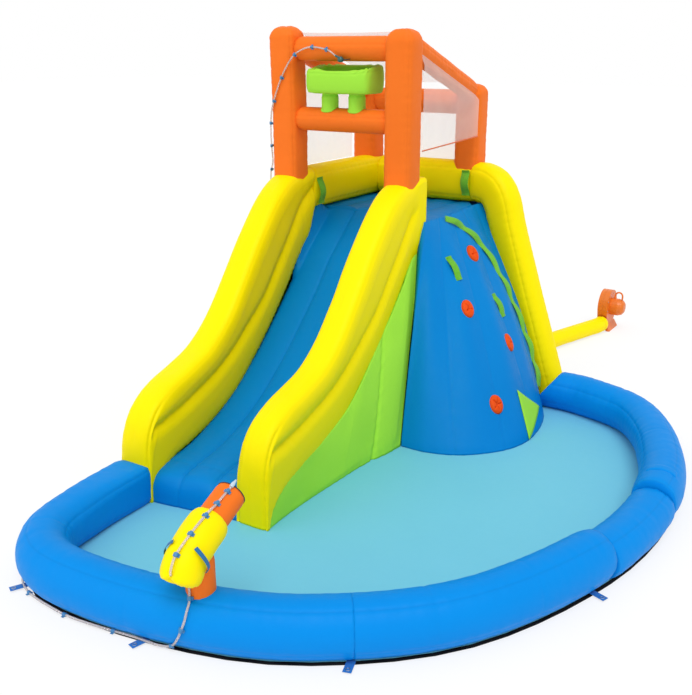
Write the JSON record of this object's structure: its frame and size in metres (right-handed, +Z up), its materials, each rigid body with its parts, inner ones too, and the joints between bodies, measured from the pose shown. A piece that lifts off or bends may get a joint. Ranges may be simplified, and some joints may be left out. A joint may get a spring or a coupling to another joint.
{
  "type": "inflatable water park",
  "caption": "Inflatable water park: slide tower with climbing wall and splash pool, a tipping bucket, a swivelling water cannon and a blower on an air duct.",
  "frame": {"origin": "on the ground, under the ground sheet, at the centre of the tower's four frame posts", "axes": "+Z up; -Y the way the slide runs out into the pool; +X to the climbing wall's side, where the pool is"},
  "size_m": [3.1903, 6.0422, 2.64],
  "materials": {
    "ground_black": "matt woven sheet",
    "pool_floor_cyan": "satin coated fabric",
    "pool_blue": "satin coated fabric",
    "slide_blue": "satin coated fabric",
    "tower_yellow": "satin coated fabric",
    "frame_orange": "satin coated fabric",
    "panel_lime": "satin coated fabric",
    "strap_green": "webbing",
    "strap_blue": "webbing",
    "net_white": "fine net",
    "hose_clear": "clear soft hose",
    "sprayer_teal": "moulded",
    "nozzle_pale": "moulded",
    "blower_orange": "moulded",
    "blower_dark": "moulded",
    "motor_steel": "brushed"
  },
  "bodies": {
    "park": {"ground_sheet": "ground_black", "pool_floor": "pool_floor_cyan", "pool_wall_left": "pool_blue", "pool_wall_front": "pool_blue", "pool_wall_entry": "pool_blue", "pool_wall_right": "pool_blue", "slide_wall_left": "tower_yellow", "slide_wall_right": "tower_yellow", "rail_left": "tower_yellow", "rail_back": "tower_yellow", "side_tube_right": "tower_yellow", "climbing_wall": "slide_blue", "slide_bed": "slide_blue", "deck": "slide_blue", "back_panel": "slide_blue", "side_panel_left": "panel_lime", "side_panel_right": "panel_lime", "post_front_left": "frame_orange", "post_front_right": "frame_orange", "post_back_left": "frame_orange", "post_back_right": "frame_orange", "frame_tube_front_top": "frame_orange", "frame_tube_front_middle": "frame_orange", "frame_tube_back": "frame_orange", "frame_tube_slope_left": "frame_orange", "frame_tube_slope_right": "frame_orange", "net_left": "net_white", "net_right": "net_white", "net_back": "net_white", "net_roof": "net_white", "bucket_sprayer": "sprayer_teal", "bucket_hose": "hose_clear", "cannon_hose": "hose_clear", "climb_grip_1": "frame_orange", "climb_grip_2": "frame_orange", "climb_grip_3": "frame_orange", "climb_grip_4": "frame_orange", "wall_handle_1": "strap_green", "wall_handle_2": "strap_green", "rail_handle_left": "strap_green", "rail_handle_back": "strap_green", "climbing_strap": "strap_green", "anchor_tab_front_left": "pool_blue", "anchor_tab_front": "pool_blue", "anchor_tab_front_right": "pool_blue", "anchor_tab_right": "pool_blue", "air_duct": "tower_yellow", "blower_housing_left": "blower_orange", "blower_housing_right": "blower_orange", "blower_motor_cover": "blower_orange", "blower_motor": "motor_steel"},
    "bucket": {"tipping_bucket": "panel_lime"},
    "cannon_post": {"cannon_base": "frame_orange"},
    "cannon": {"cannon_body": "tower_yellow", "cannon_barrel": "frame_orange", "cannon_handle_left": "strap_blue", "cannon_handle_right": "strap_blue", "cannon_nozzle": "nozzle_pale", "cannon_hose_upper": "hose_clear"},
    "impeller": {"blower_impeller": "blower_dark"}
  },
  "joints": [
    {"name": "bucket_tip", "type": "hinge", "parent": "park", "child": "bucket", "pos_m": [0, -0.57, 2.03], "axis": [1, 0, 0], "range_deg": [0, 55], "stiffness_Nm_per_rad": 1.2, "springref_deg": -5.73},
    {"name": "cannon_swivel", "type": "hinge", "parent": "park", "child": "cannon_post", "pos_m": [1.052, -3.37, 0.3], "axis": [0, 0, 1], "range_deg": [-30, 30]},
    {"name": "cannon_tilt", "type": "hinge", "parent": "cannon_post", "child": "cannon", "pos_m": [1.052, -3.37, 0.4], "axis": [0.9976, 0.0698, 0], "range_deg": [-12, 14]},
    {"name": "impeller_spin", "type": "hinge", "parent": "park", "child": "impeller", "pos_m": [1.095, 2.27, 0.215], "axis": [1, 0, 0], "continuous": true}
  ]
}
